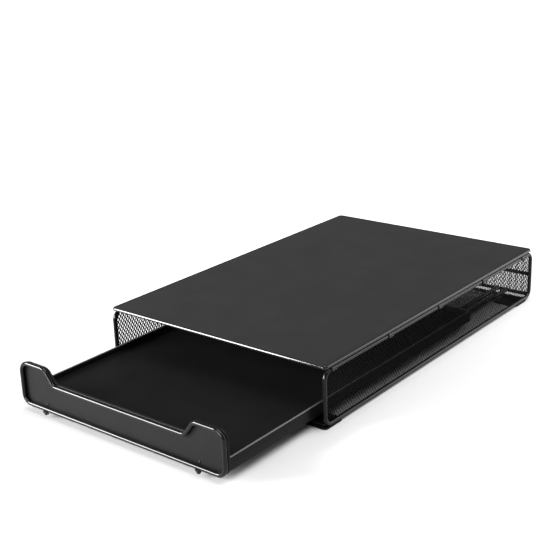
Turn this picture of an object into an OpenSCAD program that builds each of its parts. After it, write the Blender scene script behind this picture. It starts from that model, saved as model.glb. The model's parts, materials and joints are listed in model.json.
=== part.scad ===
// A low wire case with mesh sides and back and a flat sheet top, and a shallow
// sheet drawer that slides out at the front on two pairs of rail wires.
// X runs across the case, Y runs from front to back and Z runs up from the
// table. The origin is on the table, under the middle of the whole object
// with its drawer open by open_at_rest.

/* [Case] */
// Width of the case over its side wires
case_w = 254; // [224:1:320]
// Depth of the case over its front and back wires
case_d = 388; // [340:1:460]
// Height of the case from the table to the top of the plate
case_h = 58; // [54:1:80]
// Thickness of the wire that the case is bent from
wire_d = 4; // [3:0.1:5]
// Radius of the bends in the side frames, on the wire's centre
frame_bend = 8; // [5:0.5:11]
// Height of the bar across the back, on its centre
crossbar_h = 29; // [20:0.5:36]
// Distance of the front sill behind the front of the case
sill_y = 4; // [3:0.5:8]
// Distance of the front rail bar behind the front of the case
rail_bar_y = 20; // [12:0.5:40]

/* [Top plate] */
// Thickness of the top sheet
plate_t = 1.2; // [0.8:0.1:2]
// Thickness of the hem rolled along the edge of the top sheet
hem_d = 3; // [2:0.1:4]
// Radius of the top sheet's corners, on the hem's centre
plate_corner = 3; // [2.5:0.5:10]
// Distance by which the top sheet stops short of the case's back
plate_step = 3; // [0:0.5:8]
// Gap between the hem and the side frames' top wires
plate_gap = 0.5; // [0.4:0.1:4]
// Number of clips along each side
clip_count = 5; // [2:1:5]
// Length of each clip
clip_l = 7; // [3:0.5:9]
// Wall of each clip's sleeve
clip_wall = 0.8; // [0.5:0.1:1.2]
// Thickness of each clip's lug, across the case
lug_w = 2.4; // [1:0.1:3]
// Distance of the first clip behind the side frame's front bend
clip_lead = 0; // [0:0.5:12]
// Distance of the last clip from the back of the case
clip_tail = 20; // [12:0.5:40]

/* [Feet] */
// Thickness of the corner plates that the case stands on
foot_t = 1.2; // [0.8:0.1:2]
// Width of each corner plate
foot_w = 28; // [20:1:40]
// Depth of each corner plate
foot_d = 26; // [20:1:40]
// Radius of each corner plate's corners
foot_corner = 4; // [2:0.5:8]

/* [Mesh] */
// Thickness of the mesh
mesh_t = 0.8; // [0.5:0.1:1.2]
// Length of one opening with its strand
mesh_l = 18; // [14:1:30]
// Height of one opening with its strand
mesh_h = 11; // [9:1:20]
// Height of the strands where they meet
strand_h = 2; // [1:0.1:3]

/* [Rails] */
// Thickness of the rail wires
rail_d = 5; // [4:0.1:6]
// Distance of each pair of rail wires inside the side of the case
rail_inset = 31; // [29:0.5:70]
// Distance between the two wires of a pair
rail_pitch = 11; // [9:0.5:14]
// Distance of the rails' front ends behind the front of the case
rail_front = 9; // [8:0.5:12]
// Distance of the rails' back ends from the back of the case
rail_back = 8; // [7.5:0.5:20]
// Distance of the rear rail bar from the back of the case
rear_bar_back = 16; // [14:0.5:40]

/* [Drawer] */
// Opening of the drawer as it stands
open_at_rest = 118; // [0:1:230]
// Opening of the drawer at its stop
open_limit = 237; // [231:1:240]
// Thickness of the drawer's sheet
sheet_t = 1.2; // [0.8:0.1:1.6]
// Height of the floor's upper face above the table
floor_h = 16.5; // [15:0.1:20]
// Height of the strips along the sides
strip_h = 12.4; // [10:0.1:24]
// Height of the side strips' lower edges above the wires across the case
strip_lift = 4.3; // [1:0.1:6]
// Distance of the side strips inside the rim's side wires
strip_inset = 1; // [0.9:0.1:4]
// Distance of the cross wires from the drawer's front and back
cross_inset = 24; // [16:1:50]
// Length of each glide
glide_l = 20; // [10:1:30]
// Depth to which the glides reach below the top of the rails
glide_drop = 4; // [2:0.1:4.5]

/* [Front panel] */
// Gap between the front rim and the side frames
rim_side_gap = 3; // [2:0.5:12]
// Gap between the front rim and the top sheet
rim_top_gap = 6.7; // [5.5:0.1:9]
// Height of the front rim's lower wire above the table, on its centre
rim_low = 7.8; // [7.8:0.1:9]
// Depth of the finger notch
notch_depth = 14; // [13:0.1:18]
// Distance of the notch from the rim's side wires, at its top
notch_inset = 30.4; // [28:0.1:60]
// Thickness of the rim's wire
rim_d = 4; // [3:0.1:4]
// Radius of the rim's lower corners
rim_low_bend = 8; // [6:0.5:10]
// Radius of the rim's upper corners
rim_high_bend = 9; // [6:0.5:10]
// Radius of the notch's bends
notch_bend = 5; // [4:0.5:6]
// Depth of the panel over its folded edge
panel_depth = 2.4; // [1.8:0.1:6.5]
// Distance of the panel's edge inside the outside of the rim
panel_inset = 0.2; // [0:0.1:0.8]
// Distance of the rivets and bumpers from the rim's side wires
rivet_inset = 28; // [20:0.5:70]
// Height of the rivets above the table
rivet_h = 12.2; // [12:0.1:12.4]
// Diameter of the rivets' heads
rivet_head_d = 3.6; // [3:0.1:4]
// Thickness of the rivets' heads
rivet_head_t = 0.8; // [0.5:0.1:1]
// Diameter of the rivets' shanks
rivet_d = 2.4; // [1.8:0.1:2.6]
// Width of the floor's tabs behind the rivets
tab_w = 14; // [8:0.5:30]
// Sheet left between the rivets' heads and the tabs' lower edges
tab_margin = 0.6; // [0.4:0.1:1.5]
// Diameter of the bumpers at their tops
bumper_d = 6; // [5:0.1:7]
// Diameter of the bumpers at their lower ends
bumper_tip_d = 3.8; // [3:0.1:6]
// Height of the bumpers' lower ends above the table
bumper_low = 2.6; // [2:0.1:3]

/* [Fits] */
// Gap between pieces that are welded or pressed together
weld_gap = 0.05; // [0.02:0.01:0.1]
// Running gap between the drawer and the case
run_gap = 0.3; // [0.2:0.05:0.5]
// Side gap between a glide and its two rail wires
glide_gap = 0.4; // [0.3:0.05:0.6]

/* [Hidden] */
$fn = 48;
ARC_STEPS = 8;
CUT = 1;
SIDES = ["left", "right"];
ENDS = ["front", "rear"];
WIRES = ["inner", "outer"];
CROSS_WIRES = ["front", "middle", "rear"];
CLIPS = [1:clip_count];

wire_r = wire_d / 2;
rim_r = rim_d / 2;

// Case wires: centre lines
side_x = case_w / 2 - wire_r;
back_y = case_d - wire_r;
low_z = foot_t + weld_gap + wire_r;
high_z = case_h - hem_d - plate_gap - wire_r;
crossbar_y = back_y - mesh_t / 2 - weld_gap - wire_r;
bar_half = side_x - wire_r - weld_gap;

// The wires across the back meet the side frames' bends there
back_drop = crossbar_y - (back_y - frame_bend);
back_rise = frame_bend - sqrt(frame_bend * frame_bend - back_drop * back_drop);
back_low = low_z + back_rise;
back_high = high_z - back_rise;

// Front rim: centre lines
rim_x = side_x - wire_r - rim_side_gap - rim_r;
rim_high = case_h - hem_d - rim_top_gap - rim_r;
rivet_x = rim_x - rivet_inset;

// The notch's sides rise by 4 for every 3 across
notch_high = rim_x - notch_inset;
notch_low = notch_high - notch_depth * 3 / 4;
notch_h = rim_high - notch_depth;

// Rails
rail_x = case_w / 2 - rail_inset;
rail_z = low_z + wire_r + weld_gap + rail_d / 2;
rail_top = rail_z + rail_d / 2;
rear_bar_y = case_d - rear_bar_back;

// Drawer, in its closed place: the bumpers then meet the front sill
bumper_top = rim_low - rim_r + panel_inset - weld_gap;
bumper_taper = (bumper_d - bumper_tip_d) / (bumper_top - bumper_low);
bumper_at_sill = bumper_tip_d + bumper_taper * (low_z - bumper_low);
rim_y = sill_y - wire_r - run_gap - bumper_at_sill / 2;
panel_y = rim_y + rim_r + weld_gap;
sheet_back = panel_y + sheet_t + weld_gap;
drawer_end = back_y - mesh_t / 2 - run_gap;
floor_low = floor_h - sheet_t;
strip_low = low_z + wire_r + strip_lift;
back_strip_low = max(strip_low, rail_top + run_gap);
strip_x = rim_x - strip_inset;
inner_x = strip_x - sheet_t - weld_gap;
cross_d = floor_low - weld_gap - rail_top - run_gap;
glide_w = rail_pitch - rail_d - 2 * glide_gap;
glide_z = rail_top - glide_drop;
glide_front_y = rail_front + rail_d + open_limit + run_gap + glide_l / 2;
glide_rear_y = drawer_end - cross_inset - cross_d - glide_l;
tab_low = rivet_h - rivet_head_d / 2 - tab_margin;

// The object's own frame: its front and back lie at equal distances
front_reach = open_at_rest - rim_y + max(bumper_d, rim_d) / 2;
front_y = (front_reach - case_d) / 2;

// Closed outlines: vertices run anticlockwise, each with the radius of its bend
function unit(v) = v / norm(v);
function at(list, i) = list[(i + len(list)) % len(list)];
function turn(a, b) = a[0] * b[1] - a[1] * b[0];
function angle_of(v) = atan2(v[1], v[0]);
function to_last(p, i) = unit(at(p, i - 1) - p[i]);
function to_next(p, i) = unit(at(p, i + 1) - p[i]);
function bend_angle(p, i) = acos(-to_last(p, i) * to_next(p, i));
function side_of(p, i) = turn(to_last(p, i), to_next(p, i)) < 0 ? 1 : -1;
function cut_back(p, r, i) = r[i] * tan(bend_angle(p, i) / 2);
function centre(p, r, i) =
    p[i] + unit(to_last(p, i) + to_next(p, i)) * r[i] / cos(bend_angle(p, i) / 2);
function first_angle(p, r, i) =
    angle_of(p[i] + to_last(p, i) * cut_back(p, r, i) - centre(p, r, i));
function spin(p, i) = side_of(p, i) * bend_angle(p, i);

// Points of an outline that lies off outside the centre line
function outline(p, r, off) = [
    for (i = [0:len(p) - 1])
        for (k = [0:ARC_STEPS])
            let (a = first_angle(p, r, i) + spin(p, i) * k / ARC_STEPS)
                centre(p, r, i) + (r[i] + side_of(p, i) * off) * [cos(a), sin(a)]
];

// Rounded to a thousandth, so that the rods and bends of a wire meet exactly
function snap(v) = [for (c = v) round(c * 1000) / 1000];

function box_corners(x0, z0, x1, z1) = [[x0, z0], [x1, z0], [x1, z1], [x0, z1]];

rim_points = [
    [-rim_x, rim_low], [rim_x, rim_low], [rim_x, rim_high],
    [notch_high, rim_high], [notch_low, notch_h],
    [-notch_low, notch_h], [-notch_high, rim_high], [-rim_x, rim_high]
];
rim_bends = [
    rim_low_bend, rim_low_bend, rim_high_bend, notch_bend,
    notch_bend, notch_bend, notch_bend, rim_high_bend
];
side_points = box_corners(wire_r, low_z, back_y, high_z);
side_mesh_edge = outline(side_points, all_bends(frame_bend), -wire_r - weld_gap);
back_mesh_edge = box_corners(-bar_half, back_low, bar_half, back_high);
plate_x = case_w / 2 - hem_d / 2;
plate_points = box_corners(-plate_x, hem_d / 2, plate_x, case_d - plate_step - hem_d / 2);

function all_bends(r) = [r, r, r, r];

// Straight rods, from one coordinate to another
module rod_x(x0, x1, y, z, d) {
    translate([x0, y, z]) rotate([0, 90, 0]) cylinder(d = d, h = x1 - x0);
}

module rod_y(x, y0, y1, z, d) {
    translate([x, y0, z]) rotate([-90, 0, 0]) cylinder(d = d, h = y1 - y0);
}

// Part of a ring in the XY plane
module arc(place, r, start, sweep, d) {
    translate([place[0], place[1], 0])
        rotate([0, 0, sweep > 0 ? start : start + sweep])
            rotate_extrude(angle = abs(sweep)) translate([r, 0]) circle(d = d);
}

// A closed wire in the XY plane
module wire_loop(points, r, d) {
    p = [for (v = points) snap(v)];
    for (i = [0:len(p) - 1]) {
        next = (i + 1) % len(p);
        from = p[i] + to_next(p, i) * cut_back(p, r, i);
        to = p[next] + to_last(p, next) * cut_back(p, r, next);
        translate([from[0], from[1], 0])
            rotate([0, 90, angle_of(to - from)])
                cylinder(d = d, h = norm(to - from));
        arc(centre(p, r, i), r[i], first_angle(p, r, i), spin(p, i), d);
    }
}

// A flat sheet in the XY plane, from z = 0 up
module sheet(p, r, off, t) {
    linear_extrude(height = t) polygon(outline(p, r, off));
}

// XY becomes XZ, facing the front, or YZ, facing the right
module face_front(y) { translate([0, y, 0]) rotate([90, 0, 0]) children(); }
module face_right(x) { translate([x, 0, 0]) rotate([90, 0, 90]) children(); }

module in_case() { translate([0, front_y, 0]) children(); }
module in_drawer() { translate([0, front_y - open_at_rest, 0]) children(); }
module on_side(side) { mirror([side == "left" ? 1 : 0, 0, 0]) children(); }

// Lozenge openings in two staggered sets, all inside the given limits
module lozenges(x0, z0, x1, z1) {
    half_h = (mesh_h - strand_h) / 2;
    half_l = half_h * mesh_l / mesh_h;
    columns = floor((x1 - x0 - 2 * half_l) / (mesh_l / 2));
    rows = floor((z1 - z0 - 2 * half_h) / (mesh_h / 2));
    mid = [(x0 + x1) / 2, (z0 + z1) / 2];
    for (i = [0:columns], j = [0:rows])
        if ((i + j) % 2 == 0)
            translate(mid + [(i - columns / 2) * mesh_l / 2, (j - rows / 2) * mesh_h / 2])
                polygon([[-half_l, 0], [0, -half_h], [half_l, 0], [0, half_h]]);
}

// A sheet of mesh with the given edge and a border half a strand wide
module mesh_sheet(edge) {
    across = [for (v = edge) v[0]];
    up = [for (v = edge) v[1]];
    border = strand_h / 2;
    linear_extrude(height = mesh_t)
        difference() {
            polygon(edge);
            lozenges(min(across) + border, min(up) + border,
                max(across) - border, max(up) - border);
        }
}

/* Case */

module top_plate() {
    color("#3c3c3e") in_case() {
        translate([0, 0, case_h - plate_t])
            sheet(plate_points, all_bends(plate_corner), 0, plate_t);
        translate([0, 0, case_h - hem_d / 2])
            wire_loop(plate_points, all_bends(plate_corner), hem_d);
    }
}

// An open sleeve on the top wire, with a lug up to the plate's hem
module clip(side, i) {
    first = wire_r + frame_bend + clip_lead;
    last = case_d - clip_tail - clip_l;
    top = case_h - hem_d - weld_gap;
    sleeve_d = wire_d + 2 * weld_gap + 2 * clip_wall;
    color("#1c1c1e") in_case() on_side(side)
        translate([side_x, first + (last - first) * (i - 1) / (clip_count - 1), 0])
            difference() {
                union() {
                    rod_y(0, 0, clip_l, high_z, sleeve_d);
                    translate([-lug_w / 2, 0, high_z]) cube([lug_w, clip_l, top - high_z]);
                }
                rod_y(0, -CUT, clip_l + CUT, high_z, wire_d + 2 * weld_gap);
                for (z = [high_z - wire_r - sleeve_d, top])
                    translate([-sleeve_d, -CUT, z])
                        cube([2 * sleeve_d, clip_l + 2 * CUT, sleeve_d]);
            }
}

module side_frame(side) {
    color("#1c1c1e") in_case() on_side(side)
        face_right(side_x) wire_loop(side_points, all_bends(frame_bend), wire_d);
}

module side_mesh(side) {
    color("#262628") in_case() on_side(side)
        face_right(side_x - mesh_t / 2) mesh_sheet(side_mesh_edge);
}

// Three wires from side frame to side frame, in front of the back mesh
module back_wire(z) {
    color("#1c1c1e") in_case() rod_x(-bar_half, bar_half, crossbar_y, z, wire_d);
}

module back_low_wire() { back_wire(back_low); }
module back_crossbar() { back_wire(crossbar_h); }
module back_high_wire() { back_wire(back_high); }

module back_mesh() {
    color("#262628") in_case() face_front(back_y + mesh_t / 2) mesh_sheet(back_mesh_edge);
}

// A sheet that lies on the table under a corner of the case. The rear ones
// stop where the side frames start to bend.
module foot(end, side) {
    y0 = end == "front" ? 0 : case_d - wire_r - frame_bend - foot_d;
    plate = box_corners(case_w / 2 - foot_w, y0, case_w / 2, y0 + foot_d);
    color("#1c1c1e") in_case() on_side(side) sheet(plate, all_bends(foot_corner), 0, foot_t);
}

// Wires from side frame to side frame: the sill stops the drawer's bumpers,
// and the bars carry the rails
module low_wire(y) {
    color("#1c1c1e") in_case() rod_x(-bar_half, bar_half, y, low_z, wire_d);
}

module front_sill() { low_wire(sill_y); }
module rail_bar(end) { low_wire(end == "front" ? rail_bar_y : rear_bar_y); }

function rail_wire_x(wire) = rail_x + (wire == "inner" ? -1 : 1) * rail_pitch / 2;

module rail(side, wire) {
    color("#1c1c1e") in_case() on_side(side)
        rod_y(rail_wire_x(wire), rail_front, case_d - rail_back, rail_z, rail_d);
}

// A short pin between the two wires of a rail, to stop the front glide
module rail_stop(side) {
    half = (rail_pitch - rail_d) / 2 - weld_gap;
    color("#1c1c1e") in_case() on_side(side)
        rod_x(rail_x - half, rail_x + half, rail_front + rail_d / 2, rail_z, rail_d);
}

/* Drawer */

module front_rim() {
    color("#1c1c1e") in_drawer() face_front(rim_y) wire_loop(rim_points, rim_bends, rim_d);
}

module rivet_hole(side) {
    on_side(side)
        rod_y(rivet_x, panel_y - CUT, sheet_back + sheet_t + CUT, rivet_h, rivet_d + 2 * weld_gap);
}

// A tray on its side: a sheet with its edge folded back, less so above
module front_panel() {
    edge = rim_r - panel_inset;
    color("#505052") in_drawer() difference() {
        face_front(panel_y + panel_depth) sheet(rim_points, rim_bends, edge, panel_depth);
        face_front(panel_y + panel_depth + CUT)
            sheet(rim_points, rim_bends, edge - sheet_t, panel_depth - sheet_t + CUT);
        for (side = SIDES) rivet_hole(side);
    }
}

// Joins the panel to a tab of the floor
module rivet(side) {
    front = panel_y - weld_gap;
    back = sheet_back + sheet_t + weld_gap;
    color("#1c1c1e") in_drawer() on_side(side) {
        rod_y(rivet_x, front - rivet_head_t, front, rivet_h, rivet_head_d);
        rod_y(rivet_x, front, back, rivet_h, rivet_d);
        rod_y(rivet_x, back, back + rivet_head_t, rivet_h, rivet_head_d);
    }
}

// A tapered rubber plug pushed up against the rim's lower wire
module bumper(side) {
    color("#141414") in_drawer() on_side(side) difference() {
        translate([rivet_x, rim_y, bumper_low])
            cylinder(d1 = bumper_tip_d, d2 = bumper_d, h = bumper_top - bumper_low);
        rod_x(0, rim_x, rim_y, rim_low, rim_d + 2 * weld_gap);
    }
}

module side_strip(side) {
    color("#333335") in_drawer() on_side(side)
        translate([strip_x - sheet_t, sheet_back, strip_low])
            cube([sheet_t, drawer_end - sheet_back, strip_h]);
}

module back_strip() {
    color("#333335") in_drawer()
        translate([-inner_x, drawer_end - sheet_t, back_strip_low])
            cube([2 * inner_x, sheet_t, strip_low + strip_h - back_strip_low]);
}

module floor_sheet() {
    color("#242426") in_drawer() difference() {
        union() {
            translate([-inner_x, sheet_back, floor_low])
                cube([2 * inner_x, drawer_end - sheet_t - weld_gap - sheet_back, sheet_t]);
            for (side = SIDES)
                on_side(side) translate([rivet_x - tab_w / 2, sheet_back, tab_low])
                    cube([tab_w, sheet_t, floor_h - tab_low]);
        }
        for (side = SIDES) rivet_hole(side);
    }
}

// A wire under the floor that rides on the rails
module cross_wire(place) {
    y = place == "front" ? sheet_back + cross_inset
        : place == "rear" ? drawer_end - cross_inset
        : (sheet_back + drawer_end) / 2;
    color("#1c1c1e") in_drawer()
        rod_x(-inner_x, inner_x, y, floor_low - weld_gap - cross_d / 2, cross_d);
}

// A block under the floor that runs between the two wires of a rail
module glide(end, side) {
    y = end == "front" ? glide_front_y : glide_rear_y;
    color("#2e2e30") in_drawer() on_side(side)
        translate([rail_x - glide_w / 2, y - glide_l / 2, glide_z])
            cube([glide_w, glide_l, floor_low - weld_gap - glide_z]);
}

top_plate();
back_high_wire();
back_low_wire();
back_mesh();
back_crossbar();
front_sill();
front_rim();
front_panel();
floor_sheet();
back_strip();

for (place = CROSS_WIRES)
    cross_wire(place);

for (end = ENDS)
    rail_bar(end);

for (side = SIDES) {
    side_frame(side);
    side_mesh(side);
    rail_stop(side);
    side_strip(side);
    rivet(side);
    bumper(side);
    for (i = CLIPS)
        clip(side, i);
    for (end = ENDS) {
        foot(end, side);
        glide(end, side);
    }
    for (wire = WIRES)
        rail(side, wire);
}
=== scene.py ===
"""A low wire case with a sheet drawer, open by about a third, on a pale table.

The case and the drawer come from the frame. This script gives every surface its
finish. It draws the wires, sheets, rivets, plugs and glides with their real
rounding, adds the welds, and fills the side and back frames with fine expanded
metal. It also sets up the table, the light and the camera. All lengths are in
metres, and sizes that end in MM are written in millimetres.
"""

import json
import math
import random

import bmesh
import bpy
from mathutils import Matrix, Vector


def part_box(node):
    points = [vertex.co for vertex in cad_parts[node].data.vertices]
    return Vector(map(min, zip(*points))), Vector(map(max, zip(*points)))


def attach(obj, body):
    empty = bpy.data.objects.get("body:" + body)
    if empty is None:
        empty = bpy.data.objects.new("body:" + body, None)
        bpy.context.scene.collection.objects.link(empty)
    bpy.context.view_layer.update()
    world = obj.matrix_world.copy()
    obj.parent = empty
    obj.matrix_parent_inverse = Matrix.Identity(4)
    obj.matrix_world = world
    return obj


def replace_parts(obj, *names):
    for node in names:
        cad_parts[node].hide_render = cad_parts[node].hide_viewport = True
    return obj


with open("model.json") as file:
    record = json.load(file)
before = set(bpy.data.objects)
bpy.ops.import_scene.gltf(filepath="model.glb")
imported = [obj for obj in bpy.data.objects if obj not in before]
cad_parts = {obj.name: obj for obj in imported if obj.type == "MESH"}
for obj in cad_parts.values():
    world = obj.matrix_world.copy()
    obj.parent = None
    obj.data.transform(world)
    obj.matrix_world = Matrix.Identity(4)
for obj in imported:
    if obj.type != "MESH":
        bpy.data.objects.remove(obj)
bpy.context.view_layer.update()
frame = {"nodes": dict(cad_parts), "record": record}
MM = 0.001
SIDES = (("left", -1), ("right", 1))
ENDS = ("front", "rear")
UP = Vector((0, 0, 1))
RIGHT = Vector((1, 0, 0))
REAR = Vector((0, 1, 0))


# Camera: the photograph's place, direction and lens

CAMERA_PLACE = Vector((0.60965, -0.79259, 0.42100))
CAMERA_AZIMUTH = math.radians(38.91)
CAMERA_ELEVATION = math.radians(18.97)
CAMERA_ROLL = math.radians(-1.9)
CAMERA_LENS_MM = 70.63
CAMERA_SENSOR_MM = 36.0
CAMERA_NEAR = 10 * MM


def make_camera():
    """A camera at its place, turned by its azimuth, elevation and roll."""
    flat = math.cos(CAMERA_ELEVATION)
    back = Vector(
        (
            math.sin(CAMERA_AZIMUTH) * flat,
            -math.cos(CAMERA_AZIMUTH) * flat,
            math.sin(CAMERA_ELEVATION),
        )
    )
    right = Vector((math.cos(CAMERA_AZIMUTH), math.sin(CAMERA_AZIMUTH), 0))
    up = back.cross(right)
    turned_right = right * math.cos(CAMERA_ROLL) + up * math.sin(CAMERA_ROLL)
    turned_up = up * math.cos(CAMERA_ROLL) - right * math.sin(CAMERA_ROLL)
    camera = bpy.data.objects.new("camera", bpy.data.cameras.new("camera"))
    bpy.context.collection.objects.link(camera)
    camera.data.lens = CAMERA_LENS_MM
    camera.data.sensor_width = CAMERA_SENSOR_MM
    camera.data.clip_start = CAMERA_NEAR
    axes = Matrix((turned_right, turned_up, back)).transposed()
    camera.matrix_world = Matrix.Translation(CAMERA_PLACE) @ axes.to_4x4()
    bpy.context.scene.camera = camera


# Materials

CLOUD_SIZE = 35 * MM
CLOUD_CONTRAST = 0.12
GRAIN_SHARE = 1 / 4
GRAIN_HEIGHT_SHARE = 1 / 3
ROUGHNESS_RANGE = 0.1
MOULDED_CLOUD_SHARE = 12
MOULDED_CONTRAST = 0.2
MOULDED_GLOSS = 0.3


class Nodes:
    """A material's node tree, with short calls to add and join nodes."""

    def __init__(self, name):
        self.material = bpy.data.materials.new(name)
        self.material.use_nodes = True
        self.tree = self.material.node_tree
        self.shader = self.tree.nodes["Principled BSDF"]

    def add(self, kind, **settings):
        node = self.tree.nodes.new(kind)
        for key, value in settings.items():
            setattr(node, key, value)
        return node

    def join(self, source, target):
        self.tree.links.new(source, target)

    def noise(self, size, detail=2.0):
        """Noise whose lumps are about size across."""
        place = self.add("ShaderNodeTexCoord")
        node = self.add("ShaderNodeTexNoise")
        node.inputs["Scale"].default_value = 1 / size
        node.inputs["Detail"].default_value = detail
        self.join(place.outputs["Object"], node.inputs["Vector"])
        return node.outputs["Fac"]

    def spread(self, value, low, high, start=0.3, end=0.7):
        """The value, from start to end, moved to low to high."""
        node = self.add("ShaderNodeMapRange")
        node.inputs["From Min"].default_value = start
        node.inputs["From Max"].default_value = end
        node.inputs["To Min"].default_value = low
        node.inputs["To Max"].default_value = high
        self.join(value, node.inputs["Value"])
        return node.outputs["Result"]

    def blend(self, value, dark, light):
        """The colour between dark, at 0, and light, at 1."""
        node = self.add("ShaderNodeMix", data_type="RGBA")
        node.inputs["A"].default_value = (*dark, 1)
        node.inputs["B"].default_value = (*light, 1)
        self.join(value, node.inputs["Factor"])
        return node.outputs["Result"]

    def clouded(self, value, shade, contrast):
        """A grey that the value makes darker and lighter by the contrast."""
        dark = grey(shade * (1 - contrast))
        light = grey(shade * (1 + contrast))
        return self.blend(self.spread(value, 0, 1), dark, light)

    def varied(self, value, roughness):
        """A roughness that the value moves a little down and up."""
        low = roughness * (1 - ROUGHNESS_RANGE)
        return self.spread(value, low, roughness * (1 + ROUGHNESS_RANGE))

    def bump(self, value, height, below=None):
        """The surface's direction with bumps of a height, on top of those below."""
        node = self.add("ShaderNodeBump")
        node.inputs["Distance"].default_value = height
        self.join(value, node.inputs["Height"])
        if below is not None:
            self.join(below, node.inputs["Normal"])
        return node.outputs["Normal"]


def grey(value):
    """A grey as red, green and blue."""
    return (value, value, value)


def coated_metal(name, shade, roughness, peel_size, peel_height, gloss):
    """Powder-coated metal: a dark coat with a fine orange peel and faint clouds."""
    n = Nodes(name)
    clouds = n.noise(CLOUD_SIZE, detail=3.0)
    peel = n.noise(peel_size, detail=1.5)
    grain = n.noise(peel_size * GRAIN_SHARE)
    n.join(n.clouded(clouds, shade, CLOUD_CONTRAST), n.shader.inputs["Base Color"])
    n.join(n.varied(grain, roughness), n.shader.inputs["Roughness"])
    fine = n.bump(grain, peel_height * GRAIN_HEIGHT_SHARE)
    n.join(n.bump(peel, peel_height, below=fine), n.shader.inputs["Normal"])
    n.shader.inputs["Specular IOR Level"].default_value = gloss
    return n.material


def moulded(name, shade, roughness, grain_size, grain_height):
    """Rubber or plastic with a fine moulded grain."""
    n = Nodes(name)
    grain = n.noise(grain_size, detail=3.0)
    clouds = n.noise(grain_size * MOULDED_CLOUD_SHARE)
    n.join(n.clouded(clouds, shade, MOULDED_CONTRAST), n.shader.inputs["Base Color"])
    n.join(n.varied(grain, roughness), n.shader.inputs["Roughness"])
    n.join(n.bump(grain, grain_height), n.shader.inputs["Normal"])
    n.shader.inputs["Specular IOR Level"].default_value = MOULDED_GLOSS
    return n.material


MATERIALS = {
    "wire": coated_metal("wire_coat", 0.003, 0.11, 1.1 * MM, 0.002 * MM, gloss=0.20),
    "hem": coated_metal("hem_coat", 0.003, 0.11, 1.1 * MM, 0.002 * MM, gloss=0.36),
    "mesh": coated_metal("mesh_coat", 0.003, 0.34, 0.6 * MM, 0.003 * MM, gloss=0.12),
    "top_sheet": coated_metal("top_coat", 0.010, 0.42, 0.8 * MM, 0.004 * MM, gloss=0.25),
    "foot_sheet": coated_metal("foot_coat", 0.006, 0.42, 0.8 * MM, 0.004 * MM, gloss=0.15),
    "panel_sheet": coated_metal("panel_coat", 0.0052, 0.44, 0.7 * MM, 0.004 * MM, gloss=0.10),
    "rivet": coated_metal("rivet_coat", 0.006, 0.26, 0.6 * MM, 0.003 * MM, gloss=0.20),
    "strip_sheet": coated_metal("strip_coat", 0.005, 0.30, 0.8 * MM, 0.004 * MM, gloss=0.08),
    # The lip's light coat is a painted highlight along the strips' top edges.
    "lip": coated_metal("lip_painted_highlight_coat", 0.085, 0.30, 0.8 * MM, 0.004 * MM, gloss=0.5),
    # The drawer floor's coat is a little darker than the walls'. It is partly its own black and
    # partly painted shade from the capsules that are left out.
    "floor_sheet": coated_metal("floor_coat", 0.004, 0.46, 0.8 * MM, 0.004 * MM, gloss=0.07),
    "rubber": moulded("rubber", 0.006, 0.70, 0.35 * MM, 0.010 * MM),
    "glide": moulded("glide_plastic", 0.012, 0.50, 0.5 * MM, 0.006 * MM),
}


def finish_cad_nodes():
    """Give every solid of the record its slot's finish."""
    for entry in frame["record"]["subparts"]:
        node = frame["nodes"][entry["node"]]
        for place in node.material_slots:
            place.material = MATERIALS[entry["material_slot"]]


# Pieces made from points and faces

SHARP_ANGLE = math.radians(42)


def make_piece(name, points, faces, slot, body, smooth=True, finish=None):
    """A closed piece with its faces turned outwards and its hard edges kept sharp.

    finish names its look where that isn't its slot's own.
    """
    mesh = bpy.data.meshes.new(name)
    mesh.from_pydata([tuple(p) for p in points], [], faces)
    work = bmesh.new()
    work.from_mesh(mesh)
    bmesh.ops.recalc_face_normals(work, faces=work.faces)
    work.to_mesh(mesh)
    work.free()
    if smooth:
        mesh.shade_smooth()
        mesh.set_sharp_from_angle(angle=SHARP_ANGLE)
    piece = bpy.data.objects.new(name, mesh)
    bpy.context.collection.objects.link(piece)
    mesh.materials.append(MATERIALS[finish or slot])
    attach(piece, body)
    return piece


def loft(rings, closed_path=False):
    """Points and faces of a skin over rings of equally many points, with flat ends."""
    count = len(rings[0])
    points = [p for ring in rings for p in ring]
    faces = []
    spans = len(rings) if closed_path else len(rings) - 1
    for i in range(spans):
        here = i * count
        there = (i + 1) % len(rings) * count
        for k in range(count):
            other = (k + 1) % count
            faces.append((here + k, here + other, there + other, there + k))
    if not closed_path:
        faces.append(tuple(range(count)))
        faces.append(tuple(range((len(rings) - 1) * count, len(rings) * count)))
    return points, faces


def joined(parts):
    """One set of points and faces from several."""
    points = []
    faces = []
    for some_points, some_faces in parts:
        first = len(points)
        points.extend(some_points)
        faces.extend(tuple(first + k for k in face) for face in some_faces)
    return points, faces


# Outlines with round corners, in a plane of their own. They run anticlockwise.

ARC_STEPS = 10
LEAST_BEND = 0.15 * MM


def corner_arc(before, corner, after, radius):
    """A round corner's centre, first angle, turning angle and the side it turns to."""
    to_last = (before - corner).normalized()
    to_next = (after - corner).normalized()
    bend = math.acos(max(-1.0, min(1.0, -to_last.dot(to_next))))
    cut = radius * math.tan(bend / 2)
    centre = corner + (to_last + to_next).normalized() * (radius / math.cos(bend / 2))
    start = corner + to_last * cut - centre
    side = 1 if to_last.x * to_next.y - to_last.y * to_next.x < 0 else -1
    return centre, math.atan2(start.y, start.x), side * bend, side


def outline(corners, radii, off=0.0, steps=ARC_STEPS):
    """Points of the rounded outline that lies off outside the given one."""
    points = []
    for i, corner in enumerate(corners):
        before = corners[i - 1]
        after = corners[(i + 1) % len(corners)]
        centre, start, sweep, side = corner_arc(before, corner, after, radii[i])
        reach = max(radii[i] + side * off, LEAST_BEND)
        centre = corner + (centre - corner) * ((reach - side * off) / radii[i])
        for k in range(steps + 1):
            angle = start + sweep * k / steps
            points.append(centre + reach * Vector((math.cos(angle), math.sin(angle))))
    return points


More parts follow.
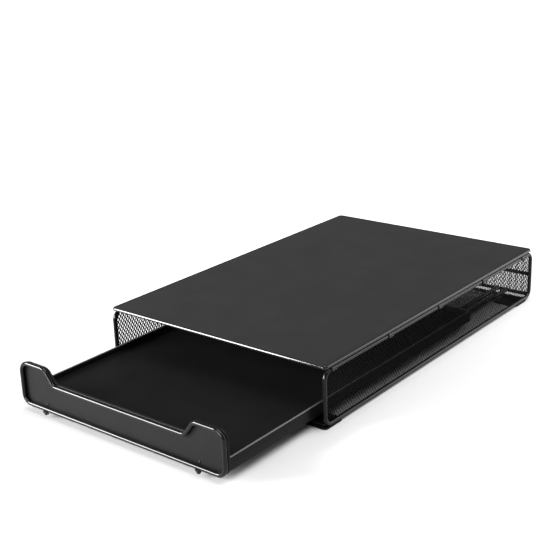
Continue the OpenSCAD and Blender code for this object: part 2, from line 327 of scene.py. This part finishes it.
def rectangle(x0, y0, x1, y1):
    """A rectangle's corners, anticlockwise."""
    return [Vector((x0, y0)), Vector((x1, y0)), Vector((x1, y1)), Vector((x0, y1))]


def front_plane(y):
    """Sets an outline's points upright across the case, at y."""
    return lambda p: Vector((p.x, y, p.y))


def side_plane(x):
    """Sets an outline's points upright along the case, at x."""
    return lambda p: Vector((x, p.x, p.y))


def level_plane(z):
    """Sets an outline's points level, at z."""
    return lambda p: Vector((p.x, p.y, z))


# Wires

WIRE_SIDES = 28
BEND_STEPS = 12
SUPPORT = 0.4 * MM
END_ROUND = 0.35 * MM
ROUND_MIDDLE = 0.3
FRAME_BEND = 8 * MM


def ring_around(place, along, across, radius, sides=WIRE_SIDES):
    """Points around a wire. across is a fixed direction square to its path."""
    third = along.cross(across).normalized()
    turn = 2 * math.pi / sides
    ring = []
    for k in range(sides):
        ring.append(place + radius * (math.cos(k * turn) * across + math.sin(k * turn) * third))
    return ring


def rod(start, end, radius):
    """A straight wire with slightly rounded ends."""
    start = Vector(start)
    end = Vector(end)
    along = (end - start).normalized()
    across = along.orthogonal().normalized()
    middle = ROUND_MIDDLE * END_ROUND
    stops = [(0, -END_ROUND), (middle, -middle), (END_ROUND, 0), (END_ROUND + SUPPORT, 0)]
    length = (end - start).length
    rings = []
    for distance, less in stops:
        place = start + along * distance
        rings.append(ring_around(place, along, across, radius + less))
    for distance, less in reversed(stops):
        place = start + along * (length - distance)
        rings.append(ring_around(place, along, across, radius + less))
    return loft(rings)


def bent_wire(corners, radii, plane, across, radius, steps=BEND_STEPS):
    """A closed wire along a rounded outline in a plane."""
    rings = []
    for i, corner in enumerate(corners):
        before = corners[i - 1]
        after = corners[(i + 1) % len(corners)]
        centre, start, sweep, side = corner_arc(before, corner, after, radii[i])
        stops = [(0, -SUPPORT)] + [(k / steps, 0) for k in range(steps + 1)] + [(1, SUPPORT)]
        for share, beyond in stops:
            angle = start + sweep * share
            way = side * Vector((-math.sin(angle), math.cos(angle)))
            spot = centre + radii[i] * Vector((math.cos(angle), math.sin(angle)))
            spot += way * beyond
            along = (plane(spot + way) - plane(spot)).normalized()
            rings.append(ring_around(plane(spot), along, across, radius))
    return loft(rings, closed_path=True)


def box_of(node):
    """The lowest and the highest corner of a node's box."""
    low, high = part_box(node)
    return Vector(low), Vector(high)


def frame_wire(node):
    """The closed wire of a side frame."""
    low, high = box_of(node)
    radius = (high.x - low.x) / 2
    corners = rectangle(low.y + radius, low.z + radius, high.y - radius, high.z - radius)
    plane = side_plane((high.x + low.x) / 2)
    return bent_wire(corners, [FRAME_BEND] * 4, plane, RIGHT, radius)


def straight_wire(node, axis):
    """A wire that fills a node's box along one axis."""
    low, high = box_of(node)
    other = (axis + 1) % 3
    radius = (high[other] - low[other]) / 2
    start = (low + high) / 2
    end = start.copy()
    start[axis] = low[axis]
    end[axis] = high[axis]
    return rod(start, end, radius)


RIM_LOW_BEND = 8 * MM
RIM_HIGH_BEND = 9 * MM
NOTCH_BEND = 7 * MM
NOTCH_DEPTH = 14 * MM
NOTCH_INSET = 30.4 * MM
NOTCH_SLOPE = 3 / 4
RIM_BEND_STEPS = 14
RIM_BENDS = [
    RIM_LOW_BEND,
    RIM_LOW_BEND,
    RIM_HIGH_BEND,
    NOTCH_BEND,
    NOTCH_BEND,
    NOTCH_BEND,
    NOTCH_BEND,
    RIM_HIGH_BEND,
]


def rim_corners():
    """The corners of the rim's middle line, seen from the front, and its radius."""
    low, high = box_of("front_rim")
    radius = (high.y - low.y) / 2
    x = high.x - radius
    top = high.z - radius
    notch_high = x - NOTCH_INSET
    notch_low = notch_high - NOTCH_DEPTH * NOTCH_SLOPE
    corners = [(-x, low.z + radius), (x, low.z + radius), (x, top), (notch_high, top)]
    corners += [(notch_low, top - NOTCH_DEPTH), (-notch_low, top - NOTCH_DEPTH)]
    corners += [(-notch_high, top), (-x, top)]
    return [Vector(c) for c in corners], radius


BACK_WIRES = ("back_high_wire", "back_crossbar", "back_low_wire")


def make_wires():
    """Every wire, rail and pin, and the rim, each in its node's box."""
    for side, _ in SIDES:
        name = side + "_side_frame"
        piece = make_piece(name + "_wire", *frame_wire(name), "wire", "case")
        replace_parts(piece, name)
        for wire in ("inner", "outer"):
            name = side + "_" + wire + "_rail"
            piece = make_piece(name + "_wire", *straight_wire(name, 1), "wire", "case")
            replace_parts(piece, name)
        name = side + "_rail_stop"
        piece = make_piece(name + "_pin", *straight_wire(name, 0), "wire", "case")
        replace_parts(piece, name)
    for name in ("front_sill", "front_rail_bar", "rear_rail_bar", *BACK_WIRES):
        piece = make_piece(name + "_wire", *straight_wire(name, 0), "wire", "case")
        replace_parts(piece, name)
    for name in ("front_cross_wire", "middle_cross_wire", "rear_cross_wire"):
        piece = make_piece(name + "_rod", *straight_wire(name, 0), "wire", "drawer")
        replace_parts(piece, name)
    corners, radius = rim_corners()
    low, high = box_of("front_rim")
    plane = front_plane((low.y + high.y) / 2)
    points = bent_wire(corners, RIM_BENDS, plane, REAR, radius, RIM_BEND_STEPS)
    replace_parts(make_piece("front_rim_wire", *points, "wire", "drawer"), "front_rim")


# Sheets

PLATE_SHEET = 1.2 * MM
PLATE_CORNER = 3 * MM
PLATE_DIP = 0.25 * MM
EDGE_SHARE = 0.4
EDGE_ROUND = 0.45 * MM
HEM_RADIUS = 1.5 * MM
HEM_STEPS = 32
HEM_POWER = 4
HEM_LEAN = math.radians(20)


def plate_corners():
    """The corners and radius of the hem's middle line, its height and the sheet's top."""
    low, high = box_of("top_plate")
    radius = HEM_RADIUS
    corners = rectangle(low.x + radius, low.y + radius, high.x - radius, high.y - radius)
    return corners, radius, low.z + radius, high.z


def hem_piece():
    """The hem that is rolled down along the top sheet's edge, a little flat outside."""
    corners, radius, middle, _ = plate_corners()
    rings = []
    for k in range(HEM_STEPS):
        angle = 2 * math.pi * k / HEM_STEPS
        out = math.cos(angle)
        up = math.sin(angle)
        squarer = (abs(out) ** HEM_POWER + abs(up) ** HEM_POWER) ** (-1 / HEM_POWER)
        off = radius * squarer * (out * math.cos(HEM_LEAN) - up * math.sin(HEM_LEAN))
        rise = radius * squarer * (up * math.cos(HEM_LEAN) + out * math.sin(HEM_LEAN))
        off = max(-radius, min(radius, off))
        rise = max(-radius, min(radius, rise))
        plane = level_plane(middle + rise)
        rings.append([plane(p) for p in outline(corners, [PLATE_CORNER] * 4, off)])
    points, faces = loft(rings, closed_path=True)
    return make_piece("rolled_hem", points, faces, "wire", "case", finish="hem")


def plate_piece():
    """The flat top sheet, which dips a little where it runs into its hem."""
    corners, radius, _, top = plate_corners()
    profile = [(-4 * radius, top), (-2.2 * radius, top), (-1.6 * radius, top - 0.3 * PLATE_DIP)]
    profile += [(-1.1 * radius, top - 0.8 * PLATE_DIP), (-0.6 * radius, top - PLATE_DIP)]
    profile += [(-0.4 * radius, top - 0.5 * PLATE_SHEET), (-0.6 * radius, top - PLATE_SHEET)]
    profile += [(-2.2 * radius, top - PLATE_SHEET), (-4 * radius, top - PLATE_SHEET)]
    rings = []
    for off, z in profile:
        plane = level_plane(z)
        rings.append([plane(p) for p in outline(corners, [PLATE_CORNER] * 4, off)])
    return make_piece("flat_top_sheet", *loft(rings), "top_sheet", "case")


def flat_sheet(corners, radii, low_z, high_z):
    """A level sheet whose cut edges are slightly rounded."""
    soft = min(EDGE_ROUND, (high_z - low_z) * EDGE_SHARE)
    middle = ROUND_MIDDLE * soft
    profile = [(-3 * soft, low_z), (-soft, low_z), (-middle, low_z + middle)]
    profile += [(0, low_z + soft), (0, high_z - soft), (-middle, high_z - middle)]
    profile += [(-soft, high_z), (-3 * soft, high_z)]
    rings = []
    for off, z in profile:
        rings.append([level_plane(z)(p) for p in outline(corners, radii, off)])
    return loft(rings)


FOOT_CORNER = 4 * MM


def foot_piece(node):
    """A corner plate that stands on the table."""
    low, high = box_of(node)
    corners = rectangle(low.x, low.y, high.x, high.y)
    points = flat_sheet(corners, [FOOT_CORNER] * 4, low.z, high.z)
    return make_piece(node + "_plate", *points, "foot_sheet", "case")


PANEL_SHEET = 1.2 * MM
PANEL_FOLD = 1.5 * MM
PANEL_EDGE_ROUND = 0.3 * MM
INNER_FOLD_STEP = 0.05 * MM
SHOULDER_BAND = 5 * MM
SHOULDER_DROP = 0.9 * MM
SHOULDER_CUT = 0.6
FOLD_STEPS = 6


def panel_piece():
    """The front panel: a sheet whose edge is folded back, less so at its shoulders."""
    corners, _ = rim_corners()
    low, high = box_of("front_panel")
    edge = high.x - corners[1].x
    front = low.y

    def place(p, y):
        lift = max(0.0, 1 - (high.z - p.y) / SHOULDER_BAND)
        folded = max(0.0, y - front - PANEL_FOLD)
        y -= folded * lift * SHOULDER_CUT
        return Vector((p.x, y, p.y - SHOULDER_DROP * lift))

    profile = [(edge - 3 * PANEL_FOLD, front), (edge - 1.4 * PANEL_FOLD, front)]
    for k in range(FOLD_STEPS + 1):
        angle = math.pi / 2 * k / FOLD_STEPS
        off = edge - PANEL_FOLD + PANEL_FOLD * math.sin(angle)
        profile.append((off, front + PANEL_FOLD - PANEL_FOLD * math.cos(angle)))
    inner_fold = PANEL_FOLD - PANEL_SHEET
    soft = PANEL_EDGE_ROUND
    profile += [(edge, front + 1.3 * PANEL_FOLD), (edge, high.y - soft), (edge - soft, high.y)]
    profile += [(edge - PANEL_SHEET + soft, high.y), (edge - PANEL_SHEET, high.y - soft)]
    inner_end = front + PANEL_SHEET + inner_fold + INNER_FOLD_STEP
    profile.append((edge - PANEL_SHEET, inner_end))
    profile.append((edge - PANEL_SHEET - inner_fold, front + PANEL_SHEET))
    profile.append((edge - 3 * PANEL_FOLD, front + PANEL_SHEET))
    rings = []
    for off, y in profile:
        rings.append([place(p, y) for p in outline(corners, RIM_BENDS, off)])
    return make_piece("folded_front_panel", *loft(rings), "panel_sheet", "drawer")


STRIP_EDGE_STEPS = 5
STRIP_LIP = 1.3 * MM


def strip_section(half, low, high):
    """A strip's section: flat sides, with the top and bottom edges rounded over."""
    section = []
    for k in range(2 * STRIP_EDGE_STEPS + 1):
        angle = math.pi * k / (2 * STRIP_EDGE_STEPS)
        section.append((half * math.cos(angle), high - half + half * math.sin(angle)))
    for k in range(2 * STRIP_EDGE_STEPS + 1):
        angle = math.pi + math.pi * k / (2 * STRIP_EDGE_STEPS)
        section.append((half * math.cos(angle), low + half + half * math.sin(angle)))
    return section


def strip_piece(node, axis):
    """A low sheet wall along one axis of the drawer, and the lighter lip on top of it. The
    lip's light coat is a painted highlight along the top edge.
    """
    low, high = box_of(node)
    across = 1 - axis
    half = (high[across] - low[across]) / 2
    middle = (high[across] + low[across]) / 2

    def bar(low_z, high_z):
        rings = []
        for end in (low[axis], high[axis]):
            ring = []
            for offset, z in strip_section(half, low_z, high_z):
                place = Vector((0, 0, z))
                place[axis] = end
                place[across] = middle + offset
                ring.append(place)
            rings.append(ring)
        return loft(rings)

    lip = high.z - STRIP_LIP
    edge = bar(lip, high.z)
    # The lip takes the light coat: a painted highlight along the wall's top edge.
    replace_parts(make_piece(node + "_lip", *edge, "strip_sheet", "drawer", finish="lip"), node)
    wall = bar(low.z, lip + half)
    return make_piece(node + "_wall", *wall, "strip_sheet", "drawer")


def make_sheets():
    """The top, the corner plates, the panel and the drawer's walls."""
    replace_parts(plate_piece(), "top_plate")
    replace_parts(hem_piece(), "top_plate")
    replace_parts(panel_piece(), "front_panel")
    for side, _ in SIDES:
        for end in ENDS:
            node = end + "_" + side + "_foot"
            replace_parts(foot_piece(node), node)
        node = side + "_side_strip"
        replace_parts(strip_piece(node, 1), node)
    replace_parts(strip_piece("back_strip", 0), "back_strip")


# Rivets, plugs, glides and welds

TURN_STEPS = 32


def turned(place, axis, profile):
    """A round piece. The profile gives radius and distance along the axis."""
    place = Vector(place)
    across = axis.orthogonal().normalized()
    rings = []
    for radius, distance in profile:
        rings.append(ring_around(place + axis * distance, axis, across, radius, TURN_STEPS))
    return loft(rings)


RIVET_RADIUS = 1.2 * MM
RIVET_SHANK = 0.8 * MM
RIVET_HEAD = 0.8 * MM


def rivet_piece(side):
    """A rivet, low in its node's box, with a domed head in front and a flat one behind."""
    low, high = box_of(side + "_rivet")
    head = RIVET_RADIUS
    length = high.y - low.y
    dome = [(0.12, 0.0), (0.45, 0.10), (0.72, 0.30), (0.92, 0.62), (1.0, 0.86), (1.0, 1.0)]
    profile = [(head * r, RIVET_HEAD * h) for r, h in dome]
    profile += [(RIVET_SHANK, RIVET_HEAD), (RIVET_SHANK, length - RIVET_HEAD)]
    flat = [(1.0, 1.0), (1.0, 0.55), (0.94, 0.2), (0.8, 0.05), (0.2, 0.0)]
    profile += [(head * r, length - RIVET_HEAD * h) for r, h in flat]
    place = ((low.x + high.x) / 2, low.y, low.z + head)
    return make_piece(side + "_domed_rivet", *turned(place, REAR, profile), "rivet", "drawer")


PLUG_END = 0.62


def plug_piece(side):
    """A rubber plug under the rim: a tapered body with a rounded foot and a collar."""
    low, high = box_of(side + "_bumper")
    radius = (high.x - low.x) / 2
    height = high.z - low.z
    shape = [(0.30, 0.0), (0.48, 0.02), (0.58, 0.09), (PLUG_END, 0.20), (0.74, 0.52)]
    shape += [(0.80, 0.66), (0.92, 0.70), (0.985, 0.76), (1.0, 0.84), (0.99, 0.93)]
    shape += [(0.93, 0.99), (0.5, 1.0)]
    profile = [(radius * r, height * h) for r, h in shape]
    place = ((low.x + high.x) / 2, (low.y + high.y) / 2, low.z)
    return make_piece(side + "_rubber_plug", *turned(place, UP, profile), "rubber", "drawer")


GLIDE_SOFT = 0.6 * MM
GLIDE_NOSE = 2.5 * MM
GLIDE_ARC_STEPS = 4


def glide_piece(end, side):
    """A moulded block with rounded edges and a lead-in at both ends."""
    node = end + "_" + side + "_glide"
    low, high = box_of(node)
    rings = []
    # The share of the nose, and how much narrower and higher it is there in millimetres
    nose = [(0, 0.8, 1.2), (0.15, 0.45, 0.6), (0.5, 0.12, 0.2), (1, 0, 0)]
    stops = [(low.y + GLIDE_NOSE * share, b, c) for share, b, c in nose]
    stops += [(high.y - GLIDE_NOSE * share, b, c) for share, b, c in reversed(nose)]
    for y, narrow, lift in stops:
        inset = narrow * MM
        corners = rectangle(low.x + inset, low.z + lift * MM, high.x - inset, high.z)
        arcs = outline(corners, [GLIDE_SOFT] * 4, 0, GLIDE_ARC_STEPS)
        rings.append([front_plane(y)(p) for p in arcs])
    return make_piece(node + "_block", *loft(rings), "glide", "drawer")


BEAD_SIDES = 12
BEAD_BANDS = 6
BEAD_END = 0.04
BEAD_SWELL = 0.07

# Half sizes of the beads along x, y and z. One round a wire's end adds its radius
BAR_BEAD = (0.9 * MM, 0.5 * MM, 0.3 * MM)
BACK_BEAD = (0.8 * MM, 0.2 * MM, 0.2 * MM)
RAIL_BEAD = (1.7 * MM, 1.5 * MM, 0.7 * MM)
PANEL_BEAD = (0.9 * MM, 0.8 * MM, 2.4 * MM)
STRIP_BEAD = (0.6 * MM, 0.8 * MM, 3.5 * MM)
PANEL_BEAD_INSET = 1.6 * MM
PANEL_BEAD_DEPTH = 0.3 * MM
PANEL_BEAD_SHARES = (0.3, 0.62)
STRIP_BEAD_INSET = 1.2 * MM
CASE_SEED = 7
DRAWER_SEED = 11


def bead(place, size, draw):
    """A small uneven bead of weld metal."""
    place = Vector(place)
    size = Vector(size)
    rings = []
    for i in range(BEAD_BANDS + 1):
        tilt = math.pi * (BEAD_END + (1 - 2 * BEAD_END) * i / BEAD_BANDS)
        ring = []
        for k in range(BEAD_SIDES):
            turn = 2 * math.pi * k / BEAD_SIDES
            way = Vector(
                (
                    math.sin(tilt) * math.cos(turn),
                    math.sin(tilt) * math.sin(turn),
                    math.cos(tilt),
                )
            )
            swell = 1 + draw.uniform(-BEAD_SWELL, BEAD_SWELL)
            ring.append(place + Vector(way[j] * size[j] * swell for j in range(3)))
        rings.append(ring)
    return loft(rings)


def round_wire(size, radius):
    """A bead's half sizes where it closes round a wire along x."""
    return (size[0], size[1] + radius, size[2] + radius)


def case_welds():
    """Beads where the case's wires, bars and rails meet."""
    draw = random.Random(CASE_SEED)
    beads = []
    for side, way in SIDES:
        low, high = box_of(side + "_side_frame")
        wire = (high.x - low.x) / 2
        side_x = (low.x + high.x) / 2
        for bar in ("front_sill", "front_rail_bar", "rear_rail_bar"):
            bar_low, bar_high = box_of(bar)
            y = (bar_low.y + bar_high.y) / 2
            z = (bar_low.z + bar_high.z) / 2
            place = (side_x - way * wire, y, z)
            beads.append(bead(place, round_wire(BAR_BEAD, wire), draw))
        for bar in BACK_WIRES:
            bar_low, bar_high = box_of(bar)
            x = bar_low.x if way < 0 else bar_high.x
            place = (x, (bar_low.y + bar_high.y) / 2, (bar_low.z + bar_high.z) / 2)
            beads.append(bead(place, round_wire(BACK_BEAD, wire), draw))
        for wire_name in ("inner", "outer"):
            rail_low, rail_high = box_of(side + "_" + wire_name + "_rail")
            x = (rail_low.x + rail_high.x) / 2
            for bar in ("front_rail_bar", "rear_rail_bar"):
                bar_low, bar_high = box_of(bar)
                place = (x, (bar_low.y + bar_high.y) / 2, rail_low.z)
                beads.append(bead(place, RAIL_BEAD, draw))
    make_piece("case_welds", *joined(beads), "wire", "case")


def drawer_welds():
    """Beads where the panel sits on its rim and where the strips meet."""
    draw = random.Random(DRAWER_SEED)
    beads = []
    rim_low, rim_high = box_of("front_rim")
    panel_low, _ = box_of("front_panel")
    for side, way in SIDES:
        x = way * (rim_high.x - PANEL_BEAD_INSET)
        for share in PANEL_BEAD_SHARES:
            z = rim_low.z + share * (rim_high.z - rim_low.z)
            place = (x, panel_low.y + PANEL_BEAD_DEPTH, z)
            beads.append(bead(place, PANEL_BEAD, draw))
        strip_low, strip_high = box_of(side + "_side_strip")
        inner = strip_low.x if way > 0 else strip_high.x
        y = strip_high.y - STRIP_BEAD_INSET
        z = (strip_low.z + strip_high.z) / 2
        beads.append(bead((inner, y, z), STRIP_BEAD, draw))
    make_piece("drawer_welds", *joined(beads), "wire", "drawer")


def make_small_pieces():
    """The rivets, plugs, glides and weld beads."""
    for side, _ in SIDES:
        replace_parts(rivet_piece(side), side + "_rivet")
        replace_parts(plug_piece(side), side + "_bumper")
        for end in ENDS:
            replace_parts(glide_piece(end, side), end + "_" + side + "_glide")
    case_welds()
    drawer_welds()


# Fine expanded metal in the frames. Its strands run up and down in zigzags.

MESH_LONG_WAY = 5.5 * MM
MESH_SHORT_WAY = 3.65 * MM
SIDE_STRAND = 1.05 * MM
SIDE_LEAN = math.radians(35)
BACK_STRAND = 0.80 * MM
BACK_LEAN = math.radians(-25)
STRAND_THICKNESS = 0.35 * MM
STRAND_TILT = 0.13 * MM
BOND_SHARE = 0.18
SIDE_CORNER = 6 * MM
BACK_CORNER = 0


def corner_cut(distance, radius):
    """How far an outline's round corner cuts in from its edge, at a distance along it."""
    if distance >= radius:
        return 0.0
    return radius - math.sqrt(max(0.0, radius**2 - (radius - distance) ** 2))


def strand(column, first, spacing, width, inside, low_z, high_z):
    """One zigzag strand, as runs of points inside the outline."""
    half_step = MESH_LONG_WAY / 2
    rows = int((high_z - low_z) / half_step) + 2
    runs = []
    run = []
    for row in range(rows + 1):
        way = 1 if (row + column) % 2 else -1
        for share in (-BOND_SHARE, BOND_SHARE):
            z = low_z + (row + share) * half_step
            s = first + column * spacing + way * (spacing - width) / 2
            if inside(s, z):
                run.append((s, z, way))
            elif run:
                runs.append(run)
                run = []
    if run:
        runs.append(run)
    return [r for r in runs if len(r) > 1]


def expanded_metal(name, node, across, radius, width, lean):
    """Expanded metal that fills a node's outline. across is the axis through the sheet.

    Each strand is a ribbon that leans out of the sheet like a slat.
    """
    low, high = box_of(node)
    along = 1 - across
    middle = (low[across] + high[across]) / 2
    spacing = MESH_SHORT_WAY / 2
    length = high[along] - low[along]
    columns = int(length / spacing)
    first = low[along] + (length - (columns - 1) * spacing) / 2

    def inside(s, z):
        inset = corner_cut(min(s - low[along], high[along] - s), radius)
        return low.z + inset < z < high.z - inset

    parts = []
    for column in range(columns):
        for run in strand(column, first, spacing, width, inside, low.z, high.z):
            rings = []
            for s, z, way in run:
                ring = []
                for side, depth in ((-1, -1), (1, -1), (1, 1), (-1, 1)):
                    wide = side * width / 2
                    thick = depth * STRAND_THICKNESS / 2
                    point = Vector((0, 0, z))
                    point[along] = s + wide * math.cos(lean) - thick * math.sin(lean)
                    point[across] = middle + way * STRAND_TILT
                    point[across] += wide * math.sin(lean) + thick * math.cos(lean)
                    ring.append(point)
                rings.append(ring)
            parts.append(loft(rings))
    points, faces = joined(parts)
    return make_piece(name, points, faces, "mesh", "case", smooth=False)


def make_meshes():
    """Expanded metal in the two side frames and at the back."""
    for side, way in SIDES:
        node = side + "_side_mesh"
        name = side + "_expanded_metal"
        piece = expanded_metal(name, node, 0, SIDE_CORNER, SIDE_STRAND, -way * SIDE_LEAN)
        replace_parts(piece, node)
    name = "back_expanded_metal"
    piece = expanded_metal(name, "back_mesh", 1, BACK_CORNER, BACK_STRAND, BACK_LEAN)
    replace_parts(piece, "back_mesh")


# Table and light. The key light stands where the front hem and the rim mirror it.

KEY_PLACE = Vector((-1.157, -1.379, 0.56))
KEY_SIZE = (0.85, 0.75)
KEY_RADIANCE = 58
FRONT_PLACE = Vector((0.0, -1.80, 0.42))
FRONT_SIZE = (1.10, 0.42)
FRONT_RADIANCE = 24
FRONT_AIM = Vector((0, -0.1, 0.03))
REAR_PLACE = Vector((0.95, 1.2, 0.50))
REAR_SIZE = (0.9, 0.9)
REAR_RADIANCE = 3.6
REAR_AIM = Vector((0.1, 0, 0.03))
SUN_STRENGTH = 3.9
SUN_SPREAD = math.radians(50)
SUN_WAY = Vector((0.25, 0.1, 1.0))
WORLD_STRENGTH = 0.22
TABLE_SIZE = 60
# The table's colour is painted shade: darker near the key light, paler farther off.
TABLE_NEAR = 1.25
TABLE_FAR = 2.25
TABLE_NEAR_SHADE = 0.25
TABLE_FAR_SHADE = 0.76
TABLE_ROUGHNESS = 0.6
TABLE_GLOSS = 0.1


def make_table():
    """A pale table with painted shade: darker near the foot of the key light, which cancels
    that light's pool of light and evens its tone out.
    """
    foot = (KEY_PLACE.x, KEY_PLACE.y, 0)
    bpy.ops.mesh.primitive_plane_add(size=TABLE_SIZE, location=foot)
    table = bpy.context.object
    table.name = "table"
    n = Nodes("table_white_painted_shade")
    place = n.add("ShaderNodeTexCoord")
    reach = n.add("ShaderNodeVectorMath", operation="LENGTH")
    n.join(place.outputs["Object"], reach.inputs[0])
    far = n.spread(reach.outputs["Value"], 0, 1, TABLE_NEAR, TABLE_FAR)
    shade = n.blend(far, grey(TABLE_NEAR_SHADE), grey(TABLE_FAR_SHADE))
    n.join(shade, n.shader.inputs["Base Color"])
    n.shader.inputs["Roughness"].default_value = TABLE_ROUGHNESS
    n.shader.inputs["Specular IOR Level"].default_value = TABLE_GLOSS
    table.data.materials.append(n.material)


def softbox(name, place, aim, size, radiance):
    """A soft rectangular light, as bright to look at whatever its size."""
    light = bpy.data.lights.new(name, "AREA")
    light.shape = "RECTANGLE"
    light.size, light.size_y = size
    light.energy = radiance * math.pi * size[0] * size[1]
    lamp = bpy.data.objects.new(name, light)
    bpy.context.collection.objects.link(lamp)
    lamp.location = place
    lamp.rotation_euler = (place - aim).to_track_quat("Z", "Y").to_euler()


def make_light():
    """An even sky, a wide sun from above and three softboxes."""
    world = bpy.data.worlds.new("studio")
    bpy.context.scene.world = world
    world.use_nodes = True
    background = world.node_tree.nodes["Background"]
    background.inputs["Color"].default_value = (1, 1, 1, 1)
    background.inputs["Strength"].default_value = WORLD_STRENGTH
    sun = bpy.data.lights.new("sky_light", "SUN")
    sun.energy = SUN_STRENGTH
    sun.angle = SUN_SPREAD
    lamp = bpy.data.objects.new("sky_light", sun)
    bpy.context.collection.objects.link(lamp)
    lamp.rotation_euler = SUN_WAY.to_track_quat("Z", "Y").to_euler()
    softbox("key", KEY_PLACE, FRONT_AIM, KEY_SIZE, KEY_RADIANCE)
    softbox("front", FRONT_PLACE, FRONT_AIM, FRONT_SIZE, FRONT_RADIANCE)
    softbox("rear", REAR_PLACE, REAR_AIM, REAR_SIZE, REAR_RADIANCE)


make_camera()
finish_cad_nodes()
make_wires()
make_sheets()
make_small_pieces()
make_meshes()
make_table()
make_light()
bpy.context.scene.view_settings.view_transform = "Standard"
